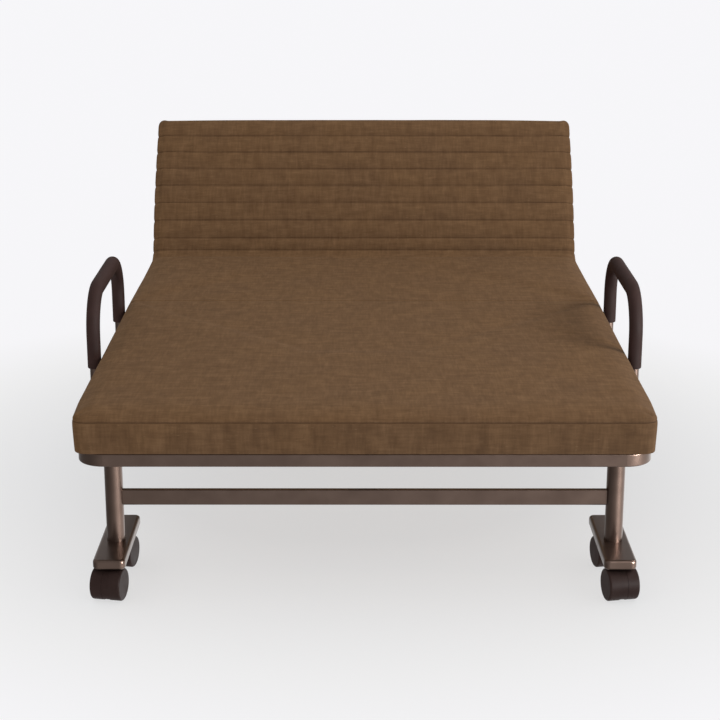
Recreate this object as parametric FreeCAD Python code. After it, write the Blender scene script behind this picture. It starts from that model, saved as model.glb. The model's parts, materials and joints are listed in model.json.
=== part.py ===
"""Folding cot on castors: two hinged bed halves, a reclining head section and two T-leg frames.

The bed stands on eight castors and a centre leg. It folds by lifting the middle: each half
swings up about its own T-leg frame, so the T-legs stay upright and roll towards each other.
Millimetres. X is the width, +Y points to the head end, +Z is up, and Z = 0 is the floor.
The origin is on the floor under the middle of the bed's bounding box.
"""
import FreeCAD, Part
import math
import os

from FreeCAD import Placement, Rotation, Vector

os.makedirs("parts", exist_ok=True)

# ---------------------------------------------------------------- driving dimensions
HALF_LENGTH = 950.0          # fold line to the foot end, and to the head end of the fixed base
MATTRESS_WIDTH = 1200.0
MATTRESS_THICKNESS = 83.5
MATTRESS_TOP = 430.0
MATTRESS_CORNER_R = 28.0     # plan corner radius
MATTRESS_EDGE_R = 8.0

FRAME_WIDTH = 1194.0         # outside of the side rails
TUBE = 25.0                  # width of the frame tube
TUBE_HEIGHT = 28.0
TUBE_WALL = 1.5
TUBE_EDGE_R = 3.0
FRAME_TOP = 345.0
FRAME_END_INSET = 3.0        # frame end tube inside the mattress end
FRAME_CORNER_R = 58.0        # outer plan radius of the bent corner
FOLD_GAP = 1.0               # each half's frame stops this short of the fold line

LEG_SPACING = 1082.0         # between the T-leg tube axes
LEG_FROM_END = 153.0
LEG_R = 19.5
LEG_WALL = 1.8
LEG_PIVOT_Z = 305.0
CROSSBAR_BOTTOM = 178.0
CROSSBAR_HEIGHT = 35.5
CROSSBAR_DEPTH = 12.0
BASE_BAR = (69.0, 270.0, 22.5)
BASE_BAR_TOP = 97.0
BASE_BAR_SHIFT = 14.0        # its middle is this far from the leg, towards the fold
BASE_BAR_CORNER_R = 12.0
BASE_BAR_EDGE_R = 6.5
BASE_BAR_WALL = 2.5

CASTOR_SPREAD = 182.0        # between the two stems on one base bar
CASTOR_TRAIL = 20.0
CASTOR_WHEEL_R = 35.0
CASTOR_WIDTH = 66.0
CASTOR_BODY_WIDTH = 14.0
CASTOR_STEM_R = 5.5
CASTOR_AXLE_R = 4.0
CASTOR_RIM_R = 4.0
CASTOR_GAP = 0.25            # wheel to housing
CASTOR_TURN = 11.0           # degrees that the castors have swivelled at rest

BOLT_R = 5.0
BOLT_HEAD_R = 8.0
SCREW_R = 3.5
RUNNING_CLEARANCE = 0.05

CENTRE_LEG_Y = 75.0          # distance from the fold line, on the head half
CENTRE_LEG_X = 535.0
CENTRE_LEG_R = 12.5

RECLINE_Y = 538.5            # recline axis from the fold line
RECLINE_Z = 378.0
RECLINE_REST = 52.0          # degrees that the head section is raised at rest
RECLINE_MAX = 65.0
HEAD_FLAT_LENGTH = 467.0     # recline axis to the head end of its mattress when flat

HANDLE_X = 626.0
HANDLE_FRONT_Y = 460.0       # front post, from the fold line towards the foot end
HANDLE_REAR_Y = 44.0
HANDLE_TOP_Z = 560.0
HANDLE_BEND_R = 98.0
HANDLE_TUBE_R = 11.0
HANDLE_GRIP_R = 16.0
HANDLE_GRIP_START_Z = 386.0
HANDLE_BOTTOM_Z = 318.0

SLAT = (1132.0, 62.0, 10.0)
SLAT_PITCH = 96.5
SLAT_BOTTOM = 333.0

# ---------------------------------------------------------------- derived places
RAIL_OUTER = FRAME_WIDTH / 2
RAIL_INNER = RAIL_OUTER - TUBE
FRAME_BOTTOM = FRAME_TOP - TUBE_HEIGHT
RAIL_MIDDLE_Z = (FRAME_TOP + FRAME_BOTTOM) / 2
MATTRESS_BOTTOM = MATTRESS_TOP - MATTRESS_THICKNESS
LEG_X = LEG_SPACING / 2
LEG_Y = HALF_LENGTH - LEG_FROM_END
BAR_Y = LEG_Y - BASE_BAR_SHIFT
BACK_END_Y = BAR_Y + BASE_BAR[1] / 2        # rearmost point at rest: the head base bars
FOLD_Y = (HALF_LENGTH - BACK_END_Y) / 2     # puts the origin under the middle of the box
RECLINE_AXIS = Vector(0, FOLD_Y + RECLINE_Y, RECLINE_Z)
SIDES = (("left", -1), ("right", 1))
X_AXIS = Vector(1, 0, 0)
Y_AXIS = Vector(0, 1, 0)
Z_AXIS = Vector(0, 0, 1)


# ---------------------------------------------------------------- helpers
def box(x0, x1, y0, y1, z0, z1):
    return Part.makeBox(x1 - x0, y1 - y0, z1 - z0, Vector(x0, y0, z0))


def rod(start, end, radius):
    """Solid round bar between two points."""
    start, end = Vector(*start), Vector(*end)
    return Part.makeCylinder(radius, (end - start).Length, start, end - start)


def union(shapes):
    return shapes[0].fuse(list(shapes[1:])).removeSplitter()


def prism(points, x0, x1):
    """Extrude a closed outline of (y, z) points along X."""
    corners = [Vector(x0, y, z) for y, z in points]
    wire = Part.makePolygon(corners + [corners[0]])
    return Part.Face(wire).extrude(Vector(x1 - x0, 0, 0))


def fillet_along(shape, axis, radius):
    """Round every straight edge that runs along one axis."""
    edges = [e for e in shape.Edges
             if e.Curve.TypeId == "Part::GeomLine" and abs(e.tangentAt(e.FirstParameter).dot(axis)) > 0.999]
    return shape.makeFillet(radius, edges)


def square_tube(x0, x1, y0, y1, z0, z1, axis, wall=TUBE_WALL, edge_r=TUBE_EDGE_R):
    """Straight rectangular tube, open at both ends."""
    outer = fillet_along(box(x0, x1, y0, y1, z0, z1), axis, edge_r)
    lows, highs = [x0, y0, z0], [x1, y1, z1]
    along = [abs(c) > 0.5 for c in axis].index(True)
    lows = [v if i == along else v + wall for i, v in enumerate(lows)]
    highs = [v if i == along else v - wall for i, v in enumerate(highs)]
    return outer.cut(box(lows[0], highs[0], lows[1], highs[1], lows[2], highs[2]))


def u_outline(half_width, y_open, y_end, corner_r, z):
    """Closed face of a U's outer shape: straight sides to y_open, rounded corners at y_end."""
    sign = 1 if y_end > y_open else -1
    y_bend = y_end - sign * corner_r
    diagonal = corner_r * math.sqrt(0.5)
    right_mid = Vector(half_width - corner_r + diagonal, y_bend + sign * diagonal, z)
    left_mid = Vector(-right_mid.x, right_mid.y, z)
    right_open, left_open = Vector(half_width, y_open, z), Vector(-half_width, y_open, z)
    right_bend, left_bend = Vector(half_width, y_bend, z), Vector(-half_width, y_bend, z)
    right_end = Vector(half_width - corner_r, y_end, z)
    left_end = Vector(-half_width + corner_r, y_end, z)
    edges = [Part.LineSegment(left_open, right_open), Part.LineSegment(right_open, right_bend),
             Part.Arc(right_bend, right_mid, right_end), Part.LineSegment(right_end, left_end),
             Part.Arc(left_end, left_mid, left_bend), Part.LineSegment(left_bend, left_open)]
    return Part.Face(Part.Wire([e.toShape() for e in edges]))


def u_frame(y_open, y_end, z0, height):
    """Square tube bent into a U, with a closing plate inside each open end."""
    sign = 1 if y_end > y_open else -1

    def ring(inset, z, tall):
        outer = u_outline(RAIL_OUTER - inset, y_open, y_end - sign * inset, FRAME_CORNER_R - inset, z)
        inner = u_outline(RAIL_INNER + inset, y_open, y_end - sign * (TUBE - inset),
                          FRAME_CORNER_R - TUBE + inset, z)
        return outer.cut(inner).extrude(Vector(0, 0, tall))

    outer = ring(0.0, z0, height)
    rim = [e for e in outer.Edges if abs(e.BoundBox.ZLength) < 0.01
           and not (abs(e.BoundBox.YMin - y_open) < 0.01 and abs(e.BoundBox.YMax - y_open) < 0.01)]
    outer = outer.makeFillet(TUBE_EDGE_R, rim)
    tube = outer.cut(ring(TUBE_WALL, z0 + TUBE_WALL, height - 2 * TUBE_WALL))
    plates = [box(side * (RAIL_OUTER + RAIL_INNER) / 2 - TUBE / 2 + TUBE_WALL,
                  side * (RAIL_OUTER + RAIL_INNER) / 2 + TUBE / 2 - TUBE_WALL,
                  min(y_open, y_open + sign * 2.0), max(y_open, y_open + sign * 2.0),
                  z0 + TUBE_WALL, z0 + height - TUBE_WALL) for _, side in SIDES]
    return Part.makeCompound([tube] + plates)


def end_plates(y0, y1):
    """Plates that close both ends of both straight side rails."""
    middle = (RAIL_OUTER + RAIL_INNER) / 2
    reach = TUBE / 2 - TUBE_WALL
    return [box(side * middle - reach, side * middle + reach, y, y + 2.0,
                FRAME_BOTTOM + TUBE_WALL, FRAME_TOP - TUBE_WALL)
            for _, side in SIDES for y in (y0, y1 - 2.0)]


def slats(centres):
    boards = [box(-SLAT[0] / 2, SLAT[0] / 2, y - SLAT[1] / 2, y + SLAT[1] / 2,
                  SLAT_BOTTOM, SLAT_BOTTOM + SLAT[2]) for y in centres]
    return Part.makeCompound([fillet_along(board, X_AXIS, 2.0) for board in boards])


def slat_holders(centres):
    """Moulded caps on the rails, each with a pocket for a slat's end."""
    wall = 2.5
    caps = []
    for y in centres:
        pocket = box(-SLAT[0] / 2, SLAT[0] / 2, y - SLAT[1] / 2, y + SLAT[1] / 2,
                     SLAT_BOTTOM, SLAT_BOTTOM + SLAT[2])
        for _, side in SIDES:
            x0, x1 = sorted((side * (RAIL_INNER - 24.0), side * RAIL_INNER))
            cap = box(x0, x1, y - SLAT[1] / 2 - wall, y + SLAT[1] / 2 + wall,
                      SLAT_BOTTOM - wall, SLAT_BOTTOM + SLAT[2] + 2.0)
            caps.append(fillet_along(cap, X_AXIS, 1.5).cut(pocket))
    return Part.makeCompound(caps)


def bolt(head_x, nut_x, y, z, cap_height=4.0):
    """Shank along X with a round head beyond head_x and a hexagonal nut beyond nut_x."""
    outward = cap_height if head_x > nut_x else -cap_height
    shank = rod((head_x, y, z), (nut_x, y, z), BOLT_R)
    head = rod((head_x, y, z), (head_x + outward, y, z), BOLT_HEAD_R)
    corners = [Vector(nut_x, y + BOLT_HEAD_R * math.cos(a), z + BOLT_HEAD_R * math.sin(a))
               for a in (math.radians(60 * i) for i in range(6))]
    nut = Part.Face(Part.makePolygon(corners + corners[:1])).extrude(Vector(-outward, 0, 0))
    return union([shank, head, nut])


def tilt_back(shape):
    """Swing a head-section shape from flat up to its rest angle."""
    raised = shape.copy()
    raised.rotate(RECLINE_AXIS, X_AXIS, RECLINE_REST)
    return raised


def in_place(shape):
    """Move a shape that was modelled about the fold line to its place in the part's frame."""
    moved = shape.copy()
    moved.translate(Vector(0, FOLD_Y, 0))
    return moved


nodes = {}


def add(name, shapes, raised=False):
    """Store a node. Its shapes were modelled with the fold line at Y = 0."""
    shape = shapes if isinstance(shapes, Part.Shape) else Part.makeCompound(shapes)
    shape = in_place(shape)
    nodes[name] = tilt_back(shape) if raised else shape


# ---------------------------------------------------------------- T-leg frames
def leg_tube(x, y):
    """Round tube from the base bar to a domed top that turns about the pivot bolt."""
    height = LEG_PIVOT_Z + LEG_R - BASE_BAR_TOP
    outer = Part.makeCylinder(LEG_R, height, Vector(x, y, BASE_BAR_TOP))
    dome = union([box(x - 30, x + 30, y - 30, y + 30, BASE_BAR_TOP, LEG_PIVOT_Z),
                  rod((x - 30, y, LEG_PIVOT_Z), (x + 30, y, LEG_PIVOT_Z), LEG_R)])
    floor = BASE_BAR_TOP + 3
    bore = Part.makeCylinder(LEG_R - LEG_WALL, LEG_PIVOT_Z - 14 - floor, Vector(x, y, floor))
    pivot_hole = rod((x - 30, y, LEG_PIVOT_Z), (x + 30, y, LEG_PIVOT_Z), BOLT_R + RUNNING_CLEARANCE)
    return outer.common(dome).cut(bore).cut(pivot_hole)


def base_bar(x, y):
    """Flat foot with a bore for a castor stem near each end."""
    width, length, height = BASE_BAR
    bottom = BASE_BAR_TOP - height
    block = box(x - width / 2, x + width / 2, y - length / 2, y + length / 2, bottom, BASE_BAR_TOP)
    block = fillet_along(block, Z_AXIS, BASE_BAR_CORNER_R)
    rims = [e for e in block.Edges if e.BoundBox.ZLength < 0.01]
    block = block.makeFillet(BASE_BAR_EDGE_R, rims)
    hollow = box(x - width / 2 + BASE_BAR_WALL, x + width / 2 - BASE_BAR_WALL,
                 y - CASTOR_SPREAD / 2 + 14, y + CASTOR_SPREAD / 2 - 14,
                 bottom - 1, BASE_BAR_TOP - BASE_BAR_WALL)
    block = block.cut(hollow)
    for sign in (-1, 1):
        stem_y = y + sign * CASTOR_SPREAD / 2
        block = block.cut(rod((x, stem_y, bottom - 1), (x, stem_y, BASE_BAR_TOP - 3),
                              CASTOR_STEM_R + RUNNING_CLEARANCE))
    return block


def crossbar(y):
    """Flat tube between the two leg tubes, notched to fit their round sides."""
    reach = LEG_X - 8
    bar = square_tube(-reach, reach, y - CROSSBAR_DEPTH / 2, y + CROSSBAR_DEPTH / 2,
                      CROSSBAR_BOTTOM, CROSSBAR_BOTTOM + CROSSBAR_HEIGHT, X_AXIS)
    for _, side in SIDES:
        bar = bar.cut(rod((side * LEG_X, y, 150), (side * LEG_X, y, 230), LEG_R))
    return bar


for end, sign in (("foot", -1), ("head", 1)):
    leg_y = sign * LEG_Y
    add(f"{end}_leg_tubes", [leg_tube(side * LEG_X, leg_y) for _, side in SIDES])
    add(f"{end}_base_bars", [base_bar(side * LEG_X, sign * BAR_Y) for _, side in SIDES])
    add(f"{end}_leg_crossbar", crossbar(leg_y))


# ---------------------------------------------------------------- castors
def castor_body():
    """Swivelling housing between the wheels, about its stem axis at X = 0, Y = 0."""
    bottom_of_bar = BASE_BAR_TOP - BASE_BAR[2]
    half = CASTOR_BODY_WIDTH / 2
    hub_y = -CASTOR_TRAIL
    disc = rod((-half, hub_y, CASTOR_WHEEL_R), (half, hub_y, CASTOR_WHEEL_R), CASTOR_WHEEL_R - 0.5)
    disc = disc.cut(box(-half, half, hub_y - 40, hub_y + 40, -1, 7))
    collar = rod((0, 0, 48), (0, 0, bottom_of_bar - 0.5), half + 2.0)
    collar = collar.cut(box(-20, -half, -30, 30, 40, 71)).cut(box(half, 20, -30, 30, 40, 71))
    stem = rod((0, 0, bottom_of_bar - 2), (0, 0, BASE_BAR_TOP - 4), CASTOR_STEM_R)
    axle_bore = rod((-half - 1, hub_y, CASTOR_WHEEL_R), (half + 1, hub_y, CASTOR_WHEEL_R),
                    CASTOR_AXLE_R + RUNNING_CLEARANCE)
    return union([disc, collar, stem]).cut(axle_bore)


def castor_wheels():
    """Two wheels fixed on one axle."""
    hub_y = -CASTOR_TRAIL
    inner = CASTOR_BODY_WIDTH / 2 + CASTOR_GAP
    outer = CASTOR_WIDTH / 2
    hub_z = CASTOR_WHEEL_R
    solids = [rod((4 - outer, hub_y, hub_z), (outer - 4, hub_y, hub_z), CASTOR_AXLE_R)]
    for _, side in SIDES:
        wheel = rod((side * inner, hub_y, hub_z), (side * outer, hub_y, hub_z), CASTOR_WHEEL_R)
        outer_rim = [e for e in wheel.Edges
                     if e.BoundBox.XLength < 0.01 and abs(abs(e.CenterOfMass.x) - outer) < 0.01]
        solids.append(wheel.makeFillet(CASTOR_RIM_R, outer_rim))
    return union(solids)


for end, end_sign in (("foot", -1), ("head", 1)):
    for side_name, side in SIDES:
        for place, place_sign in (("front", -1), ("rear", 1)):
            stem = Vector(side * LEG_X, end_sign * BAR_Y + place_sign * CASTOR_SPREAD / 2, 0)
            turned = Placement(stem, Rotation(Z_AXIS, side * CASTOR_TURN))
            for piece, shape in (("body", castor_body()), ("wheels", castor_wheels())):
                shape.Placement = turned
                add(f"castor_{piece}_{end}_{side_name}_{place}", shape)


# ---------------------------------------------------------------- pivot brackets
BRACKET_PLATE = 3.0
BRACKET_GAP = 1.0            # cheek to leg tube
BRACKET_BACK_GAP = 4.5
BRACKET_SKIRT = 12.0         # cheeks and back plate reach this far below the pivot


def pivot_bracket(x, y, tube_r, web_z, sign, reach_to):
    """Channel over the top of a leg: two cheeks, a back plate on the fold side, and a web."""
    side = 1 if x > 0 else -1
    plate = BRACKET_PLATE
    inner_x = abs(x) - tube_r - BRACKET_GAP
    outer_x = abs(x) + tube_r + BRACKET_GAP
    low = LEG_PIVOT_Z - BRACKET_SKIRT
    high = web_z + plate
    open_y = y + sign * (tube_r + 0.5)
    back_y = y - sign * (tube_r + BRACKET_BACK_GAP)

    def mirrored(x0, x1, ya, yb, z0, z1):
        xs = sorted((side * x0, side * x1))
        ys = sorted((ya, yb))
        return box(xs[0], xs[1], ys[0], ys[1], z0, z1)

    pieces = [mirrored(inner_x - plate, inner_x, back_y, open_y, low, high),
              mirrored(outer_x, outer_x + plate, back_y, open_y, low, high),
              mirrored(inner_x - plate, outer_x + plate, back_y, back_y - sign * plate, low, high),
              mirrored(inner_x - plate, max(reach_to, outer_x + plate), back_y, open_y, web_z, high)]
    bracket = union(pieces)
    bore = rod((side * (inner_x - 10), y, LEG_PIVOT_Z), (side * (outer_x + 10), y, LEG_PIVOT_Z), BOLT_R)
    return bracket.cut(bore)


def pivot_bolt(x, y, tube_r):
    """Bolt through both cheeks and the leg, with its head towards the middle of the bed."""
    side = 1 if x > 0 else -1
    reach = tube_r + BRACKET_GAP + BRACKET_PLATE
    return bolt(side * (abs(x) - reach), side * (abs(x) + reach), y, LEG_PIVOT_Z)


LEG_WEB_Z = LEG_PIVOT_Z + LEG_R + 1.0
CENTRE_WEB_Z = LEG_PIVOT_Z + CENTRE_LEG_R + 2.0
add("foot_leg_brackets", [pivot_bracket(side * LEG_X, -LEG_Y, LEG_R, LEG_WEB_Z, -1, RAIL_INNER)
                          for _, side in SIDES])
add("head_leg_brackets", [pivot_bracket(side * LEG_X, LEG_Y, LEG_R, LEG_WEB_Z, 1, 0.0)
                          for _, side in SIDES])
add("centre_leg_brackets", [pivot_bracket(side * CENTRE_LEG_X, CENTRE_LEG_Y, CENTRE_LEG_R, CENTRE_WEB_Z, 1,
                                          RAIL_INNER) for _, side in SIDES])
add("foot_pivot_bolts", [pivot_bolt(side * LEG_X, -LEG_Y, LEG_R) for _, side in SIDES])
add("head_pivot_bolts", [pivot_bolt(side * LEG_X, LEG_Y, LEG_R) for _, side in SIDES]
    + [pivot_bolt(side * CENTRE_LEG_X, CENTRE_LEG_Y, CENTRE_LEG_R) for _, side in SIDES])

# ---------------------------------------------------------------- foot half
foot_slats = [-80.0 - SLAT_PITCH * i for i in range(9)]
mid_slats = [80.0 + SLAT_PITCH * i for i in range(5)]
head_slats = [RECLINE_Y + 66.5 + SLAT_PITCH * i for i in range(4)]
CROSS_TUBE_INSET = 20.0      # fold line to the first cross tube


def cross_tube(y0, z0=FRAME_BOTTOM, reach=RAIL_INNER):
    return square_tube(-reach, reach, y0, y0 + TUBE, z0, FRAME_TOP, X_AXIS)


def centre_rail(y0, y1, z0=FRAME_BOTTOM):
    """Flat tube under the middle of the slats."""
    return square_tube(-15, 15, y0, y1, z0, SLAT_BOTTOM, Y_AXIS, edge_r=2.0)


foot_frame_end = -HALF_LENGTH + FRAME_END_INSET
add("foot_frame_tube", u_frame(-FOLD_GAP, foot_frame_end, FRAME_BOTTOM, TUBE_HEIGHT))
foot_cross_y = -CROSS_TUBE_INSET - TUBE
add("foot_cross_members", [cross_tube(foot_cross_y), centre_rail(foot_frame_end + TUBE, foot_cross_y)])
add("foot_slats", slats(foot_slats))
add("foot_slat_holders", slat_holders(foot_slats))


# ---------------------------------------------------------------- fold hinge
def hinge_lug(x0, x1, sign):
    """Plate welded under a rail, with a round eye about the fold axis."""
    eye_r = 11.0
    low = LEG_PIVOT_Z - eye_r + 0.1
    outline = [(sign * 70.0, FRAME_BOTTOM), (sign * FOLD_GAP, FRAME_BOTTOM), (sign * FOLD_GAP, low),
               (sign * 5.0, low + 1.0)]
    plate = union([prism(outline, x0, x1), rod((x0, 0, LEG_PIVOT_Z), (x1, 0, LEG_PIVOT_Z), eye_r)])
    return plate.cut(rod((x0 - 1, 0, LEG_PIVOT_Z), (x1 + 1, 0, LEG_PIVOT_Z), BOLT_R + RUNNING_CLEARANCE))


def fold_hinge_x(side, low, width):
    """X range of a hinge plate that starts this far outside the rail's inner face."""
    return sorted((side * (RAIL_INNER + low), side * (RAIL_INNER + low + width)))


add("fold_hinge_clevises", [hinge_lug(*fold_hinge_x(side, low, 4.0), -1)
                            for _, side in SIDES for low in (1.5, 19.5)])
add("fold_hinge_tongues", [hinge_lug(*fold_hinge_x(side, 6.5, 12.0), 1) for _, side in SIDES])
add("fold_hinge_pins", [bolt(side * (RAIL_INNER + 1.0), side * (RAIL_INNER + 24.0), 0.0, LEG_PIVOT_Z, 3.0)
                        for _, side in SIDES])


# ---------------------------------------------------------------- push handles
def handle_path(start_z):
    """Arch from one post's lower point over the top to the other post's."""
    front, rear, radius = -HANDLE_FRONT_Y, -HANDLE_REAR_Y, HANDLE_BEND_R
    shoulder = HANDLE_TOP_Z - radius
    diagonal = radius * math.sqrt(0.5)
    front_mid = Vector(0, front + radius - diagonal, shoulder + diagonal)
    rear_mid = Vector(0, rear - radius + diagonal, shoulder + diagonal)
    front_low, front_shoulder = Vector(0, front, start_z), Vector(0, front, shoulder)
    front_top, rear_top = Vector(0, front + radius, HANDLE_TOP_Z), Vector(0, rear - radius, HANDLE_TOP_Z)
    rear_shoulder, rear_low = Vector(0, rear, shoulder), Vector(0, rear, start_z)
    edges = [Part.LineSegment(front_low, front_shoulder), Part.Arc(front_shoulder, front_mid, front_top),
             Part.LineSegment(front_top, rear_top), Part.Arc(rear_top, rear_mid, rear_shoulder),
             Part.LineSegment(rear_shoulder, rear_low)]
    return Part.Wire([e.toShape() for e in edges])


def handle_sweep(start_z, outer_r, inner_r):
    path = handle_path(start_z)
    solids = []
    for radius in (outer_r, inner_r):
        circle = Part.makeCircle(radius, Vector(0, -HANDLE_FRONT_Y, start_z), Z_AXIS)
        solids.append(path.makePipeShell([Part.Wire(circle)], True, True))
    return solids[0].cut(solids[1])


def handle_brackets():
    """Upright plates between the rail and each post, with a bolt hole."""
    plates = []
    for _, side in SIDES:
        for y in (-HANDLE_FRONT_Y, -HANDLE_REAR_Y):
            x0, x1 = sorted((side * RAIL_OUTER, side * (HANDLE_X - HANDLE_TUBE_R + 2)))
            pad = fillet_along(box(x0, x1, y - 13, y + 13, FRAME_BOTTOM + 1, FRAME_TOP - 1), X_AXIS, 3.0)
            pad = pad.cut(rod((side * HANDLE_X, y, 300), (side * HANDLE_X, y, 360), HANDLE_TUBE_R))
            pad = pad.cut(rod((side * 590, y, RAIL_MIDDLE_Z), (side * 660, y, RAIL_MIDDLE_Z), SCREW_R))
            plates.append(pad)
    return plates


def handle_bolts():
    """Screws that clamp each post to its bracket from outside."""
    screws = []
    for _, side in SIDES:
        for y in (-HANDLE_FRONT_Y, -HANDLE_REAR_Y):
            z = RAIL_MIDDLE_Z
            inside, outside = side * RAIL_OUTER, side * (HANDLE_X + HANDLE_TUBE_R)
            shank = rod((inside, y, z), (outside, y, z), SCREW_R)
            head = Part.makeSphere(2 * SCREW_R, Vector(outside - side * 2.0, y, z))
            head = head.common(box(*sorted((outside, outside + side * 6.0)), y - 8, y + 8, z - 8, z + 8))
            screws.append(union([shank, head]))
    return screws


for side_name, side in SIDES:
    tube = handle_sweep(HANDLE_BOTTOM_Z, HANDLE_TUBE_R, HANDLE_TUBE_R - TUBE_WALL)
    for y in (-HANDLE_FRONT_Y, -HANDLE_REAR_Y):
        tube = tube.cut(rod((-20, y, RAIL_MIDDLE_Z), (20, y, RAIL_MIDDLE_Z), SCREW_R))
    grip = handle_sweep(HANDLE_GRIP_START_Z, HANDLE_GRIP_R, HANDLE_TUBE_R)
    for name, shape in (("tube", tube), ("grip", grip)):
        shape.translate(Vector(side * HANDLE_X, 0, 0))
        add(f"handle_{name}_{side_name}", shape)
add("handle_brackets", handle_brackets())
add("handle_bolts", handle_bolts())

# ---------------------------------------------------------------- centre leg
CENTRE_LEG_FOOT = 6.0        # rubber under the tube's end


def centre_leg_tube(x):
    y = CENTRE_LEG_Y
    foot = Vector(x, y, CENTRE_LEG_FOOT)
    outer = Part.makeCylinder(CENTRE_LEG_R, LEG_PIVOT_Z + CENTRE_LEG_R - CENTRE_LEG_FOOT, foot)
    dome = union([box(x - 20, x + 20, y - 20, y + 20, 0, LEG_PIVOT_Z),
                  rod((x - 20, y, LEG_PIVOT_Z), (x + 20, y, LEG_PIVOT_Z), CENTRE_LEG_R)])
    bore = Part.makeCylinder(CENTRE_LEG_R - TUBE_WALL, LEG_PIVOT_Z - 30, foot)
    pivot_hole = rod((x - 20, y, LEG_PIVOT_Z), (x + 20, y, LEG_PIVOT_Z), BOLT_R + RUNNING_CLEARANCE)
    return outer.common(dome).cut(bore).cut(pivot_hole)


def centre_leg_crossbar():
    reach = CENTRE_LEG_X - 4
    bar = square_tube(-reach, reach, CENTRE_LEG_Y - 8, CENTRE_LEG_Y + 8, 120, 145, X_AXIS, edge_r=2.0)
    for _, side in SIDES:
        x = side * CENTRE_LEG_X
        bar = bar.cut(rod((x, CENTRE_LEG_Y, 100), (x, CENTRE_LEG_Y, 160), CENTRE_LEG_R))
    return bar


def rubber_foot(x):
    foot = Part.makeCylinder(17.0, 28.0, Vector(x, CENTRE_LEG_Y, 0))
    foot = foot.makeFillet(2.0, [e for e in foot.Edges if e.BoundBox.ZLength < 0.01])
    return foot.cut(Part.makeCylinder(CENTRE_LEG_R, 40.0, Vector(x, CENTRE_LEG_Y, CENTRE_LEG_FOOT)))


add("centre_leg_tubes", [centre_leg_tube(side * CENTRE_LEG_X) for _, side in SIDES] + [centre_leg_crossbar()])
add("centre_leg_feet", [rubber_foot(side * CENTRE_LEG_X) for _, side in SIDES])

# ---------------------------------------------------------------- head half
RAIL_END = RECLINE_Y - 1.0   # fixed rails stop just short of the recline axis
rail_middle = (RAIL_OUTER + RAIL_INNER) / 2
side_rails = [square_tube(side * rail_middle - TUBE / 2, side * rail_middle + TUBE / 2, FOLD_GAP, RAIL_END,
                          FRAME_BOTTOM, FRAME_TOP, Y_AXIS) for _, side in SIDES]
add("head_side_rails", side_rails + end_plates(FOLD_GAP, RAIL_END))
CARRIER_CROSS_Y = 405.0
RECLINE_CROSS_Y = 508.0
add("head_cross_members", [cross_tube(y) for y in (CROSS_TUBE_INSET, CARRIER_CROSS_Y, RECLINE_CROSS_Y)]
    + [centre_rail(CROSS_TUBE_INSET + TUBE, CARRIER_CROSS_Y),
       centre_rail(CARRIER_CROSS_Y + TUBE, RECLINE_CROSS_Y)])
add("mid_slats", slats(mid_slats))
add("mid_slat_holders", slat_holders(mid_slats))


def leg_carrier():
    """Two rails under the head section that hold its T-leg brackets, and the tube that ties them."""
    back_plate_y = LEG_Y - LEG_R - BRACKET_BACK_GAP - BRACKET_PLATE
    low, high = FRAME_BOTTOM - TUBE, FRAME_BOTTOM
    rails = [square_tube(side * LEG_X - TUBE / 2, side * LEG_X + TUBE / 2, CARRIER_CROSS_Y - 15, back_plate_y,
                         low, high, Y_AXIS) for _, side in SIDES]
    tie = square_tube(-LEG_X + TUBE / 2, LEG_X - TUBE / 2, back_plate_y - 40, back_plate_y - 40 + TUBE,
                      low, high, X_AXIS)
    return rails + [tie]


add("leg_carrier_tubes", leg_carrier())

# ---------------------------------------------------------------- recline joint
PLATE_X = MATTRESS_WIDTH / 2 + 1.5
PLATE_T = 3.0
PLATE_GAP = 0.5
EYE_R = 20.0


def recline_plate(x0, sign, tooth_count=0):
    """Plate from a rail's outer face up to an eye about the recline axis, with an optional ratchet rim."""
    half = 9.0
    outline = [(RECLINE_Y + sign * 74, RAIL_MIDDLE_Z - half), (RECLINE_Y + sign * 4, RAIL_MIDDLE_Z - half),
               (RECLINE_Y - sign * 6, RECLINE_Z - EYE_R + 4), (RECLINE_Y + sign * 16, RECLINE_Z + 10),
               (RECLINE_Y + sign * 74, RAIL_MIDDLE_Z + half)]
    eye = rod((x0, RECLINE_Y, RECLINE_Z), (x0 + PLATE_T, RECLINE_Y, RECLINE_Z), EYE_R)
    plate = union([prism(outline, x0, x0 + PLATE_T), eye])
    for i in range(tooth_count):
        angle = math.radians(-15.0 + 110.0 * i / (tooth_count - 1))
        notch = Vector(x0 - 1, RECLINE_Y + EYE_R * math.cos(angle), RECLINE_Z + EYE_R * math.sin(angle))
        plate = plate.cut(Part.makeCylinder(2.0, PLATE_T + 2, notch, X_AXIS))
    return plate


def recline_spacer(side, x_out, sign):
    x0, x1 = sorted((side * RAIL_OUTER, side * x_out))
    y0, y1 = sorted((RECLINE_Y + sign * 20, RECLINE_Y + sign * 70))
    return box(x0, x1, y0, y1, FRAME_BOTTOM + 5, FRAME_TOP - 5)


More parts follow.
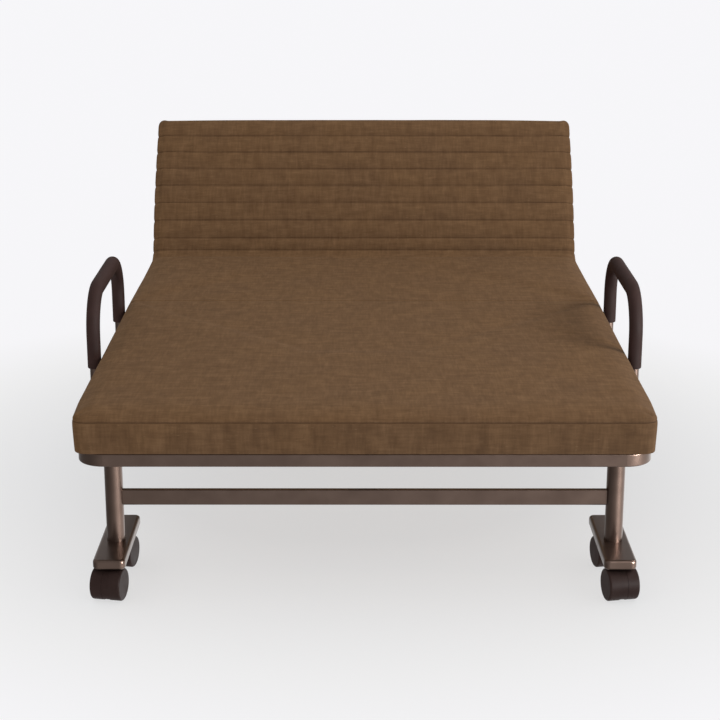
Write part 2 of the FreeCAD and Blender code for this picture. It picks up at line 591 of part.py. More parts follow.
def recline_parts():
    fixed, moving, pins, pawls = [], [], [], []
    for _, side in SIDES:
        fixed_x = PLATE_X
        moving_x = PLATE_X + PLATE_T + PLATE_GAP
        fixed_low = min(side * fixed_x, side * (fixed_x + PLATE_T))
        moving_low = min(side * moving_x, side * (moving_x + PLATE_T))
        bore_ends = ((-700, RECLINE_Y, RECLINE_Z), (700, RECLINE_Y, RECLINE_Z))
        fixed_pair = union([recline_plate(fixed_low, -1, 14), recline_spacer(side, fixed_x, -1)])
        moving_pair = union([recline_plate(moving_low, 1), recline_spacer(side, moving_x, 1)])
        fixed.append(fixed_pair.cut(rod(*bore_ends, BOLT_R)))
        moving.append(moving_pair.cut(rod(*bore_ends, BOLT_R + RUNNING_CLEARANCE)))
        head_x = moving_x + PLATE_T + 0.4
        xs = sorted((side * (fixed_x - 1.0), side * head_x))
        shank = rod((xs[0], RECLINE_Y, RECLINE_Z), (xs[1], RECLINE_Y, RECLINE_Z), BOLT_R)
        cap_xs = sorted((side * head_x, side * (head_x + 4.0)))
        cap = rod((cap_xs[0], RECLINE_Y, RECLINE_Z), (cap_xs[1], RECLINE_Y, RECLINE_Z), 9.0)
        pins.append(union([shank, cap]))
        pawl_xs = sorted((side * fixed_x, side * moving_x))
        pawl = prism([(RECLINE_Y + EYE_R + 0.6, RECLINE_Z - 3), (RECLINE_Y + EYE_R + 12, RECLINE_Z - 7),
                      (RECLINE_Y + EYE_R + 16, RECLINE_Z + 3), (RECLINE_Y + EYE_R + 0.8, RECLINE_Z + 2)],
                     pawl_xs[0], pawl_xs[1])
        pawls.append(pawl)
    return fixed, moving, pins, pawls


fixed_plates, moving_plates, recline_pins, recline_pawls = recline_parts()
add("recline_fixed_plates", fixed_plates)
add("recline_pins", recline_pins)
add("recline_moving_plates", moving_plates, raised=True)
add("recline_pawls", recline_pawls, raised=True)

# ---------------------------------------------------------------- head section
head_frame_end = RECLINE_Y + HEAD_FLAT_LENGTH - FRAME_END_INSET
HEAD_FRAME_START = RECLINE_Y + 1.0
add("backrest_frame_tube", u_frame(HEAD_FRAME_START, head_frame_end, FRAME_BOTTOM, TUBE_HEIGHT), raised=True)
backrest_cross_y = RECLINE_Y + 6.0
BACKREST_LIFT = 3.0          # inner members stay clear of the leg carrier when flat
add("backrest_cross_members",
    [cross_tube(backrest_cross_y, FRAME_BOTTOM + BACKREST_LIFT),
     centre_rail(backrest_cross_y + TUBE, head_frame_end - TUBE, FRAME_BOTTOM + BACKREST_LIFT)], raised=True)
add("backrest_slats", slats(head_slats), raised=True)
add("backrest_slat_holders", slat_holders(head_slats), raised=True)


# ---------------------------------------------------------------- mattress
def pad(y_square, y_round):
    """Flat cushion with square corners at y_square and rounded corners at y_round."""
    face = u_outline(MATTRESS_WIDTH / 2, y_square, y_round, MATTRESS_CORNER_R, MATTRESS_BOTTOM)
    return face.extrude(Vector(0, 0, MATTRESS_THICKNESS))


def soften(cushion):
    rims = [e for e in cushion.Edges if e.BoundBox.ZLength < 0.01
            and abs(e.BoundBox.ZMin - MATTRESS_TOP) < 0.01]
    return cushion.makeFillet(MATTRESS_EDGE_R, rims)


def recline_notch(sign):
    """Wedge cut from a cushion above the recline axis, so the raised head section has room."""
    half_angle = math.radians(RECLINE_MAX / 2)
    top = MATTRESS_TOP + 20
    spread = (top - RECLINE_Z) * math.tan(half_angle)
    outline = [(RECLINE_Y - sign * 5, MATTRESS_BOTTOM - 1), (RECLINE_Y + sign * 0.5, MATTRESS_BOTTOM - 1),
               (RECLINE_Y + sign * 0.5, RECLINE_Z), (RECLINE_Y + sign * (0.5 + spread), top),
               (RECLINE_Y - sign * 5, top)]
    return prism(outline, -MATTRESS_WIDTH, MATTRESS_WIDTH)


mid_pad = box(-MATTRESS_WIDTH / 2, MATTRESS_WIDTH / 2, 0.5, RECLINE_Y, MATTRESS_BOTTOM, MATTRESS_TOP)
add("mattress_foot", soften(pad(-0.5, -HALF_LENGTH)))
add("mattress_mid", mid_pad.cut(recline_notch(-1)))
add("mattress_head", soften(pad(RECLINE_Y, RECLINE_Y + HEAD_FLAT_LENGTH)).cut(recline_notch(1)), raised=True)

for name, shape in nodes.items():
    shape.exportStep(f"parts/{name}.step")
print(len(nodes), "nodes")
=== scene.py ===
"""Looks of the folding bed: upholstery, foam grips, paint, plastic, wood, floor, lights and camera.

Metres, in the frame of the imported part: X is the width, +Y points to the head end, +Z is up.
"""
import json
import math

import bpy
import numpy as np
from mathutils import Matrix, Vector, noise


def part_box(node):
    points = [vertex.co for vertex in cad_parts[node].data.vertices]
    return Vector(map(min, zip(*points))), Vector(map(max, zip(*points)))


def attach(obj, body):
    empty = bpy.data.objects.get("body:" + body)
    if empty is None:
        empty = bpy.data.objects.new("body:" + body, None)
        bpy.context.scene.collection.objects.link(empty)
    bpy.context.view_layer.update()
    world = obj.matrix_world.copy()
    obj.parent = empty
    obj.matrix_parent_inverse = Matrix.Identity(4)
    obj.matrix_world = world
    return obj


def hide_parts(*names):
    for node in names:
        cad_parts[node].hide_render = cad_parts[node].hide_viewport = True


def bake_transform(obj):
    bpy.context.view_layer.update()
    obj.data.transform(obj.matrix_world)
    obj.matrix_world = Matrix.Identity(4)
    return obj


MM = 0.001

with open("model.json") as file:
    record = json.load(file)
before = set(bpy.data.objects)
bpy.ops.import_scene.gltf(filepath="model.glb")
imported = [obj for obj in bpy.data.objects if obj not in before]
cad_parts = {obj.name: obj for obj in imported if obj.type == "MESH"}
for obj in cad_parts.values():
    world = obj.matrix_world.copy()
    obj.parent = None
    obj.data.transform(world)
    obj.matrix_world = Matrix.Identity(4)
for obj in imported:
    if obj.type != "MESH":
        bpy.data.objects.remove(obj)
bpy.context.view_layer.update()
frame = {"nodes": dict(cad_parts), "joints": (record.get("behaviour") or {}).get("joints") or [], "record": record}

# ---------------------------------------------------------------- places read from the frame
foot_low, foot_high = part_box("mattress_foot")
mid_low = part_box("mattress_mid")[0]
joints = {joint["name"]: joint for joint in frame["joints"]}
FOLD_Y = joints["centre_hinge"]["pos_m"][1]
AXIS_Y, AXIS_Z = joints["recline"]["pos_m"][1:]
RAISED = math.radians(-joints["recline"]["range_deg"][0])    # the head section is this far up at rest
TOP_Z, BOTTOM_Z = foot_high.z, foot_low.z
THICKNESS = TOP_Z - BOTTOM_Z
HALF_WIDTH = foot_high.x

# ---------------------------------------------------------------- mattress sizes
SEAM_DROP = 17 * MM          # top panel's seam below the top
SEAM_DEPTH = 2.2 * MM
SEAM_HALF = 2.0 * MM
EDGE_R = 16 * MM             # top edge above the seam
FOLD_EDGE_R = 3 * MM         # tighter edge where the two cushions meet
BOTTOM_EDGE_R = 2.5 * MM
EDGE_LINES = [d * MM for d in (0, 3, 7, 12, 18, 28)]        # mesh lines this far in from each edge
WALL_LINES = [d * MM for d in (0, 1.5, 5, 18, 34, 50)]      # mesh lines this far up the wall
ON_FACE = 1e-6               # points nearer than this to a face lie on it
SAG = 1.2 * MM               # the cover rests on the frame this far below the cushion's underside
FOOT_CORNER_R = 28 * MM
HEAD_CORNER_R = 17 * MM
FOLD_CORNER_R = 6 * MM
SIDE_BULGE = 6.5 * MM        # filling pushes the long sides out this far at the seam
PLATE_NECK = 45 * MM         # less so this near the recline plates
PLATE_TOP = 50 * MM          # and there not at all below this height
RAISED_SWELL = 0.45          # the raised section's sides stand out more by this share
SWELL_REACH = 250 * MM       # reached this far beyond the recline axis
FOOT_TAPER = 150 * MM        # the foot cushion's bulge fades over this last stretch
FOOT_BULGE = 0.3             # to this share at the foot end
END_BOW = 1.5 * MM           # the foot and head ends bow out this far at mid-height
SAG_HEIGHT = 20 * MM         # only the foot of the wall sags
GROOVE_POWER = 1.5           # sewn grooves are steeper in the middle than a V
HEAD_LENGTH = 475 * MM       # recline axis to the head end, measured flat
HEAD_DOME = 4 * MM           # middle of the head end stands this far beyond its corners
CREASE_TANGENT = 22 * MM     # the inside of the bend is an arc this long each side of its corner
HEEL_TANGENT = 24 * MM
BEND_REACH = 80 * MM         # foam squeezes and stretches this far each side of the axis
BEND_STEP = 9 * MM           # mesh lines are this close there
CROWN = 9 * MM               # raised head section bulges this much at the middle of its length
CHANNEL_FIRST = 58 * MM      # first full channel's seam above the crease
CHANNEL_PITCH = 55.8 * MM
CHANNEL_COUNT = 7
CREASE_SEAM = 5 * MM         # seam at the foot of the raised section, above the crease
CHANNEL_DEPTH = 3.4 * MM
CHANNEL_HALF = 2.6 * MM
PRESSURE = 4.0               # of the filling, in the cloth simulation
PUFF_CAP = 5.5 * MM          # the filling moves no point further than this
PUFF_FRAMES = 20
WALL_HOLD = 0.35             # how firmly the walls are held while the cover is filled


# ---------------------------------------------------------------- small tools
def smooth(t):
    t = np.clip(t, 0.0, 1.0)
    return t * t * (3 - 2 * t)


def new_object(name, points, faces, smooth_shading=True):
    mesh = bpy.data.meshes.new(name)
    mesh.from_pydata([tuple(p) for p in points], [], faces)
    mesh.validate()
    mesh.update()
    if smooth_shading:
        mesh.polygons.foreach_set("use_smooth", [True] * len(mesh.polygons))
    piece = bpy.data.objects.new(name, mesh)
    bpy.context.scene.collection.objects.link(piece)
    return piece


def grid_lines(stops, step):
    """Sorted positions that include every stop, with no gap wider than step."""
    lines = [stops[0]]
    for a, b in zip(stops, stops[1:]):
        count = max(1, math.ceil((b - a) / step - 1e-6))
        lines += [a + (b - a) * (i + 1) / count for i in range(count)]
    return lines


def box_skin(*lines):
    """Points and quads of a closed box whose faces are gridded along the given lines of each axis."""
    counts = [len(axis_lines) for axis_lines in lines]
    index, corners, faces = {}, [], []

    def corner(*ijk):
        if ijk not in index:
            index[ijk] = len(corners)
            corners.append([axis_lines[i] for axis_lines, i in zip(lines, ijk)])
        return index[ijk]

    for axis in range(3):
        a, b = (axis + 1) % 3, (axis + 2) % 3
        for end in (0, counts[axis] - 1):
            for i in range(counts[a] - 1):
                for j in range(counts[b] - 1):
                    ring = []
                    for da, db in ((0, 0), (1, 0), (1, 1), (0, 1)):
                        ijk = [0, 0, 0]
                        ijk[axis], ijk[a], ijk[b] = end, i + da, j + db
                        ring.append(corner(*ijk))
                    faces.append(ring if end else ring[::-1])
    return np.array(corners), faces


def round_pair(a, b, radius_a, radius_b):
    """Turns the square edge between two faces into an arc. a and b are distances in from each face."""
    da, db = np.clip(1 - a / radius_a, 0, None), np.clip(1 - b / radius_b, 0, None)
    widest = np.maximum(da, db)
    scale = np.where((da > 0) & (db > 0), widest / np.maximum(np.hypot(da, db), 1e-9), 1.0)
    return (np.where(da > 0, radius_a * (1 - da * scale), a),
            np.where(db > 0, radius_b * (1 - db * scale), b))


# ---------------------------------------------------------------- upholstery shape
class Cushion:
    """A cushion laid flat: x across, s along from its fold end, h up from its underside."""

    def __init__(self, length, along_lines, across_step, corner_r, neck_at=None):
        self.length = length
        self.corner_r = corner_r
        self.neck_at = neck_at
        across = [-HALF_WIDTH + e for e in EDGE_LINES] + [HALF_WIDTH - e for e in reversed(EDGE_LINES)]
        seam_h = THICKNESS - SEAM_DROP
        seam_lines = [seam_h - 6 * MM, seam_h - SEAM_HALF, seam_h, seam_h + SEAM_HALF, seam_h + 5 * MM]
        up = WALL_LINES + seam_lines + [THICKNESS - 7 * MM, THICKNESS - 3 * MM, THICKNESS]
        corners, self.faces = box_skin(grid_lines(across, across_step), along_lines, up)
        self.x, self.s, self.h = corners.T
        self.seam_h = seam_h
        self.on_side = np.abs(self.x) > HALF_WIDTH - ON_FACE
        self.on_wall = self.on_side | (self.s < ON_FACE) | (self.s > length - ON_FACE)
        self.weave = self.weave_places()
        self.round_plan()
        self.round_edges()

    def round_plan(self):
        """Rounds the four plan corners, and keeps each point's inset and outward direction in plan."""
        x_in = HALF_WIDTH - np.abs(self.x)
        side = np.sign(self.x)
        near_fold = self.s < self.length / 2
        s_in = np.where(near_fold, self.s, self.length - self.s)
        radius = np.where(near_fold, FOLD_CORNER_R, self.corner_r)
        new_x, new_s = round_pair(x_in, s_in, radius, radius)
        da, db = np.clip(1 - x_in / radius, 0, None), np.clip(1 - s_in / radius, 0, None)
        in_corner = (da > 0) & (db > 0)
        self.inset = np.where(in_corner, radius * (1 - np.maximum(da, db)), np.minimum(x_in, s_in))
        reach = np.maximum(np.hypot(da, db), 1e-9)
        out_x = np.where(in_corner, da / reach, (x_in <= s_in) * 1.0)
        out_s = np.where(in_corner, db / reach, (x_in > s_in) * 1.0)
        self.out_x, self.out_s = out_x * side, out_s * np.where(near_fold, -1, 1)
        self.x = side * (HALF_WIDTH - new_x)
        self.s = np.where(near_fold, new_s, self.length - new_s)
        self.fold_side = near_fold & (out_s > 0.9)

    def round_edges(self):
        """Rounds the top and bottom edges."""
        top_r = np.where(self.fold_side, FOLD_EDGE_R, EDGE_R)
        from_top = THICKNESS - self.h
        inset, from_top = round_pair(self.inset, from_top, top_r, top_r)
        inset, from_bottom = round_pair(inset, THICKNESS - from_top, BOTTOM_EDGE_R, BOTTOM_EDGE_R)
        self.push(self.inset - inset)
        self.h = from_bottom

    def push(self, outward):
        """Moves points outward in plan by a distance."""
        self.x = self.x + self.out_x * outward
        self.s = self.s + self.out_s * outward

    def weave_places(self):
        """Where each point lies on its cut panel: the top panel wraps over the edge, a strip runs round."""
        drop = np.clip(THICKNESS - self.h, 0, None) * self.on_wall
        over_x = np.where(self.on_side, np.sign(self.x) * drop, 0.0)
        over_s = np.where(self.s < ON_FACE, -drop, np.where(self.s > self.length - ON_FACE, drop, 0.0))
        top = np.stack([self.x + over_x, self.s + over_s, np.zeros_like(self.x)], 1)
        round_at = np.where(self.on_side, np.sign(self.x) * (HALF_WIDTH + self.length - self.s), self.x)
        strip = np.stack([round_at, self.h, np.ones_like(self.x)], 1)
        below = self.on_wall & (self.h < self.seam_h - ON_FACE)
        return np.where(below[:, None], strip, top)


def shape_walls(cushion):
    """Sewn groove round the wall, sides pushed out by the filling, and a little sag at the wall's foot."""
    rise = cushion.h / cushion.seam_h
    bulge = SIDE_BULGE * smooth(rise) * np.abs(cushion.out_x)
    if cushion.neck_at is None:
        to_end = (cushion.length - cushion.s) / FOOT_TAPER
        bulge = bulge * (FOOT_BULGE + (1 - FOOT_BULGE) * smooth(to_end))
    else:
        near = np.exp(-((cushion.s - cushion.neck_at) / PLATE_NECK) ** 2)
        clear = smooth((cushion.h - PLATE_TOP) / (cushion.seam_h - PLATE_TOP))
        raised = smooth((cushion.s - cushion.neck_at) / SWELL_REACH)
        bulge = bulge * (1 - near + near * clear) * (1 + RAISED_SWELL * raised)
    # painted shade: this mask is 1 on the wall seam's line, where the fabric's colour is darkened to stand in for
    # the shade in the groove
    cushion.stitch = np.clip(1 - np.abs(cushion.h - cushion.seam_h) / SEAM_HALF, 0, 1) * cushion.on_wall
    groove = np.clip(1 - np.abs(cushion.h - cushion.seam_h) / (1.6 * SEAM_HALF), 0, 1) ** GROOVE_POWER
    end_bow = END_BOW * np.sin(math.pi * np.clip(rise, 0, 1)) * np.abs(cushion.out_s)
    off_fold = np.where(cushion.fold_side, 0.0, 1.0)
    cushion.push((bulge + end_bow - SEAM_DEPTH * groove) * cushion.on_wall * off_fold)
    cushion.stitch = cushion.stitch * off_fold
    cushion.h = cushion.h - SAG * np.clip(1 - cushion.h / SAG_HEIGHT, 0, 1)


def channel_seams():
    """Distances above the crease of the sewn lines across the raised head section."""
    return [CREASE_SEAM] + [CHANNEL_FIRST + CHANNEL_PITCH * i for i in range(CHANNEL_COUNT)]


def path_point(distance, corner_at, tangent, height):
    """Point on a level line that turns up by RAISED, with an arc at the corner. corner_at is its Y."""
    radius = tangent / math.tan(RAISED / 2)
    past = distance - corner_at
    turn = RAISED * np.clip((past + tangent) / (2 * tangent), 0, 1)
    arc_y = corner_at - tangent + radius * np.sin(turn)
    arc_z = height + radius * (1 - np.cos(turn))
    y = np.where(past < -tangent, distance, arc_y)
    z = np.where(past < -tangent, height, arc_z)
    y = np.where(past > tangent, corner_at + past * math.cos(RAISED), y)
    z = np.where(past > tangent, height + past * math.sin(RAISED), z)
    return y, z, turn


def bend_head_cushion(cushion):
    """Points of the bent head cushion, with each one's distance above the crease and angle of turn."""
    along = cushion.s + FOLD_Y
    reach_in = np.clip((along - AXIS_Y + BEND_REACH) / (2 * BEND_REACH), 0, 1)
    half_tan = math.tan(RAISED / 2)
    top_give, heel_give = (TOP_Z - AXIS_Z) * half_tan, (AXIS_Z - BOTTOM_Z) * half_tan
    top_y, top_z, top_turn = path_point(
        along - 2 * top_give * reach_in, AXIS_Y - top_give, CREASE_TANGENT, TOP_Z)
    low_y, low_z, _ = path_point(
        along + 2 * heel_give * reach_in, AXIS_Y + heel_give, HEEL_TANGENT, BOTTOM_Z)
    above = along - 2 * top_give - (AXIS_Y - top_give)
    share = np.clip(above / (HEAD_LENGTH - top_give), 0, 1)
    bulge = CROWN * 4 * share * (1 - share)
    level = cushion.h / THICKNESS
    y = low_y + (top_y - low_y) * level - math.sin(RAISED) * bulge * level
    z = low_z + (top_z - low_z) * level + math.cos(RAISED) * bulge * level
    return np.stack([cushion.x, y, z], 1), above, top_turn


def soft_dents(points, size, strength, seed):
    """Slow unevenness of hand-filled upholstery."""
    offset = Vector((seed, seed * 2, seed * 3))
    return np.array([noise.noise(Vector(p) / size + offset) for p in points]) * strength


def vertex_normals(piece):
    normals = np.zeros(len(piece.data.vertices) * 3, np.float32)
    piece.data.vertices.foreach_get("normal", normals)
    return normals.reshape(-1, 3).astype(float)


def set_points(piece, points):
    piece.data.vertices.foreach_set("co", points.astype(np.float32).ravel())
    piece.data.update()


def subdivide(piece):
    rounder = piece.modifiers.new("rounder", "SUBSURF")
    rounder.levels = rounder.render_levels = 1


def puff(piece, held, cap):
    """Fills the cover by a short pressure simulation. Held points stay; the rest may move up to about cap."""
    rest = np.array([v.co for v in piece.data.vertices])
    group = piece.vertex_groups.new(name="sewn")
    weights = held.round(2)
    for weight in np.unique(weights[weights > 0]):
        group.add([int(i) for i in np.nonzero(weights == weight)[0]], float(weight), "REPLACE")
    cloth = piece.modifiers.new("cover", "CLOTH")
    settings = cloth.settings
    settings.quality = 4
    settings.mass = 0.3
    settings.tension_stiffness = 12
    settings.compression_stiffness = 12
    settings.shear_stiffness = 6
    settings.bending_stiffness = 0.6
    settings.vertex_group_mass = "sewn"
    settings.use_pressure = True
    settings.uniform_pressure_force = PRESSURE
    settings.effector_weights.gravity = 0
    cloth.collision_settings.use_collision = False
    scene = bpy.context.scene
    cloth.point_cache.frame_start, cloth.point_cache.frame_end = 1, PUFF_FRAMES
    for step in range(1, PUFF_FRAMES + 1):
        scene.frame_set(step)
    graph = bpy.context.evaluated_depsgraph_get()
    swollen = piece.evaluated_get(graph)
    filled = np.array([v.co for v in swollen.data.vertices])
    piece.modifiers.remove(cloth)
    piece.vertex_groups.remove(group)
    scene.frame_set(1)
    moved = filled - rest
    far = np.linalg.norm(moved, axis=1, keepdims=True)
    set_points(piece, rest + moved * (cap * np.tanh(far / cap) / np.maximum(far, 1e-9)))


def finish_cover(piece, cushion, held, seed):
    """Fills the cover, dents it a little, and gives it what its material needs."""
    puff(piece, held, PUFF_CAP)
    points = np.array([v.co for v in piece.data.vertices])
    free = 1 - np.clip(held, 0, 1)
    broad = soft_dents(points, size=0.16, strength=1.0 * MM, seed=seed)
    narrow = soft_dents(points, size=0.05, strength=0.35 * MM, seed=seed + 5)
    set_points(piece, points + vertex_normals(piece) * ((broad + narrow) * free)[:, None])
    places = piece.data.attributes.new("weave", "FLOAT_VECTOR", "POINT")
    places.data.foreach_set("vector", cushion.weave.astype(np.float32).ravel())
    seam_shades = piece.data.attributes.new("stitch", "FLOAT", "POINT")
    seam_shades.data.foreach_set("value", cushion.stitch.astype(np.float32))
    subdivide(piece)
    piece.data.materials.append(SLOT_MATERIALS["mattress_fabric"])


def held_by_sewing(cushion, extra=0.0):
    """How firmly each point is held: underside, wall seam and fold side fully, other walls partly."""
    seam = np.clip(1 - np.abs(cushion.h - cushion.seam_h) / (3 * SEAM_HALF), 0, 1) * cushion.on_wall
    under = (cushion.h < 6 * MM) * 1.0
    walls = WALL_HOLD * cushion.on_wall
    sewn = np.maximum.reduce([seam, under, walls, cushion.fold_side * 1.0])
    return np.clip(np.maximum(sewn, extra), 0, 1)


def foot_cover():
    length = foot_high.y - foot_low.y
    along = grid_lines(EDGE_LINES + [length - e for e in reversed(EDGE_LINES)], 12 * MM)
    cushion = Cushion(length, along, 12 * MM, FOOT_CORNER_R)
    shape_walls(cushion)
    points = np.stack([cushion.x, foot_high.y - cushion.s, BOTTOM_Z + cushion.h], 1)
    piece = new_object("mattress_foot_cover", points, [face[::-1] for face in cushion.faces])
    finish_cover(piece, cushion, held_by_sewing(cushion), 1)
    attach(piece, "foot_half")
    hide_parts("mattress_foot")


def head_cover():
    length = AXIS_Y - mid_low.y + HEAD_LENGTH
    give = (TOP_Z - AXIS_Z) * math.tan(RAISED / 2)
    bend = AXIS_Y - mid_low.y
    seams = [bend + give + d for d in channel_seams()]
    by_seam = [-BEND_STEP, -CHANNEL_HALF, 0, CHANNEL_HALF, BEND_STEP]
    stops = EDGE_LINES + [length - e for e in EDGE_LINES[:-1]]
    stops += [bend - BEND_REACH + BEND_STEP * i for i in range(9)]
    stops += [seam + step for seam in seams for step in by_seam]
    cushion = Cushion(length, grid_lines(sorted(stops), 13 * MM), 17 * MM, HEAD_CORNER_R, neck_at=bend)
    shape_walls(cushion)
    cushion.s = cushion.s + HEAD_DOME * smooth((cushion.s - bend) / (length - bend)) * (
        1 - (cushion.x / HALF_WIDTH) ** 4)
    points, above, turn = bend_head_cushion(cushion)
    from_seam = np.min([np.abs(above - d) for d in channel_seams()], axis=0)
    groove = np.clip(1 - from_seam / (2.0 * CHANNEL_HALF), 0, 1) ** GROOVE_POWER
    on_top = smooth((cushion.h - 0.25 * THICKNESS) / (0.5 * THICKNESS))
    # painted shade: the channel seams across the raised section are darkened the same way
    cushion.stitch = np.maximum(cushion.stitch, np.clip(1 - from_seam / CHANNEL_HALF, 0, 1) * on_top)
    piece = new_object("mattress_head_cover", points, cushion.faces)
    sunk = vertex_normals(piece) * (-CHANNEL_DEPTH * groove * on_top)[:, None]
    set_points(piece, points + sunk)
    in_bend = np.sin(np.clip(turn, 0, RAISED) / RAISED * math.pi)
    held = held_by_sewing(cushion, np.maximum(groove * on_top, in_bend))
    finish_cover(piece, cushion, held, 2)
    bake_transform(piece)
    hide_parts("mattress_mid", "mattress_head")


# ---------------------------------------------------------------- materials
def new_material(name):
    material = bpy.data.materials.new(name)
    material.use_nodes = True
    tree = material.node_tree
    return material, tree.nodes, tree.links, tree.nodes["Principled BSDF"]


def mapped_noise(nodes, links, vector, scale, detail=2.0):
    """Noise on a vector that is first scaled per axis, so that it can be drawn out into threads."""
    mapping = nodes.new("ShaderNodeMapping")
    mapping.inputs["Scale"].default_value = scale
    links.new(vector, mapping.inputs["Vector"])
    texture = nodes.new("ShaderNodeTexNoise")
    texture.inputs["Scale"].default_value = 1.0
    texture.inputs["Detail"].default_value = detail
    links.new(mapping.outputs["Vector"], texture.inputs["Vector"])
    return texture.outputs["Fac"]


def maths(nodes, links, operation, a, b, c=None):
    made = nodes.new("ShaderNodeMath")
    made.operation = operation
    for socket, value in zip(made.inputs, (a, b, c)):
        if value is None:
            continue
        if isinstance(value, (int, float)):
            socket.default_value = value
        else:
            links.new(value, socket)
    return made.outputs["Value"]


def ramp(nodes, links, fac, stops):
    made = nodes.new("ShaderNodeValToRGB")
    elements = made.color_ramp.elements
    while len(elements) < len(stops):
        elements.new(0.5)
    for element, (position, colour) in zip(elements, stops):
        element.position = position
        element.color = (*colour, 1.0)
    links.new(fac, made.inputs["Fac"])
    return made.outputs["Color"]


def bump(nodes, links, height, distance, strength, shader):
    made = nodes.new("ShaderNodeBump")
    made.inputs["Strength"].default_value = strength
    made.inputs["Distance"].default_value = distance
    links.new(height, made.inputs["Height"])
    links.new(made.outputs["Normal"], shader.inputs["Normal"])


def uneven_gloss(nodes, links, fac, first, last, shader):
    """Roughness that runs from first to last with fac."""
    rough = ramp(nodes, links, fac, [(0.3, (first,) * 3), (0.7, (last,) * 3)])
    links.new(rough, shader.inputs["Roughness"])


def multiply(nodes, links, colour, other):
    made = nodes.new("ShaderNodeMixRGB")
    made.blend_type = "MULTIPLY"
    made.inputs["Fac"].default_value = 1.0
    links.new(colour, made.inputs["Color1"])
    links.new(other, made.inputs["Color2"])
    return made.outputs["Color"]


def make_fabric():
    """Brown linen-look weave: thick and thin yarns both ways over soft blotches, with a few pale slubs.

    The strip below the wall seam, where weave Z is 1, also has upright streaks.
    """
    material, nodes, links, shader = new_material("linen_weave")
    place = nodes.new("ShaderNodeAttribute")
    place.attribute_name = "weave"
    vector = place.outputs["Vector"]
    warp = mapped_noise(nodes, links, vector, (210, 24, 40), 4.0)
    weft = mapped_noise(nodes, links, vector, (28, 230, 40), 4.0)
    fine_warp = mapped_noise(nodes, links, vector, (950, 90, 40), 2.0)
    fine_weft = mapped_noise(nodes, links, vector, (90, 950, 40), 2.0)
    tall_patch = mapped_noise(nodes, links, vector, (62, 17, 15), 3.0)
    wide_patch = mapped_noise(nodes, links, vector, (17, 62, 15), 3.0)
    blotch = mapped_noise(nodes, links, vector, (30, 30, 15), 3.0)
    streak = mapped_noise(nodes, links, vector, (28, 6, 15), 3.0)
    slub = mapped_noise(nodes, links, vector, (70, 380, 40), 1.0)
    stain = mapped_noise(nodes, links, vector, (7, 7, 5), 2.0)
    yarn = maths(nodes, links, "ADD", warp, weft)
    fine = maths(nodes, links, "ADD", fine_warp, fine_weft)
    patch = maths(nodes, links, "ADD", tall_patch, wide_patch)
    on_strip = nodes.new("ShaderNodeSeparateXYZ")
    links.new(vector, on_strip.inputs[0])
    streak = maths(nodes, links, "SUBTRACT", streak, 0.5)
    streak = maths(nodes, links, "MULTIPLY", streak, on_strip.outputs["Z"])
    cloth = maths(nodes, links, "MULTIPLY", fine, 0.05)
    for layer, share in ((yarn, 0.18), (patch, 0.22), (blotch, 0.12), (streak, 0.34)):
        cloth = maths(nodes, links, "MULTIPLY_ADD", layer, share, cloth)
    colour = ramp(nodes, links, cloth, [(0.40, (0.096, 0.049, 0.0210)), (0.51, (0.126, 0.0665, 0.0298)),
                                        (0.62, (0.163, 0.0895, 0.0423))])
    tone = ramp(nodes, links, stain, [(0.3, (0.95, 0.95, 0.96)), (0.7, (1.04, 1.035, 1.0))])
    colour = multiply(nodes, links, colour, tone)
    fleck = nodes.new("ShaderNodeMixRGB")
    links.new(ramp(nodes, links, slub, [(0.70, (0, 0, 0)), (0.76, (0.4, 0.4, 0.4))]), fleck.inputs["Fac"])
    links.new(colour, fleck.inputs["Color1"])
    fleck.inputs["Color2"].default_value = (0.22, 0.14, 0.075, 1)
    # painted shade: the colour is darker along the seams, standing in for the shade in their grooves
    sewn = nodes.new("ShaderNodeAttribute")
    sewn.attribute_name = "stitch"
    seam_shade_colour = ramp(nodes, links, sewn.outputs["Fac"], [(0.1, (1, 1, 1)), (0.9, (0.58, 0.53, 0.49))])
    links.new(multiply(nodes, links, fleck.outputs["Color"], seam_shade_colour), shader.inputs["Base Color"])
    bump(nodes, links, cloth, 1.1 * MM, 0.6, shader)
    shader.inputs["Roughness"].default_value = 0.95
    shader.inputs["Specular IOR Level"].default_value = 0.12
    shader.inputs["Sheen Weight"].default_value = 0.06
    shader.inputs["Sheen Roughness"].default_value = 0.5
    shader.inputs["Sheen Tint"].default_value = (0.7, 0.5, 0.32, 1)
    return material


def object_places(nodes):
    return nodes.new("ShaderNodeTexCoord").outputs["Object"]


def make_paint():
    """Bronze-brown metallic powder coat with a fine flow texture."""
    material, nodes, links, shader = new_material("bronze_powder_coat")
    vector = object_places(nodes)
    flake = mapped_noise(nodes, links, vector, (2400, 2400, 2400), 2.0)
    cloud = mapped_noise(nodes, links, vector, (22, 22, 22), 2.0)
    mixed = maths(nodes, links, "MULTIPLY_ADD", flake, 0.6, maths(nodes, links, "MULTIPLY", cloud, 0.4))
    colour = ramp(nodes, links, mixed, [(0.3, (0.096, 0.064, 0.051)), (0.7, (0.134, 0.093, 0.075))])
    links.new(colour, shader.inputs["Base Color"])
    uneven_gloss(nodes, links, cloud, 0.28, 0.35, shader)
    bump(nodes, links, mapped_noise(nodes, links, vector, (900, 900, 900), 1.0), 0.05 * MM, 0.25, shader)
    shader.inputs["Metallic"].default_value = 0.9
    return material


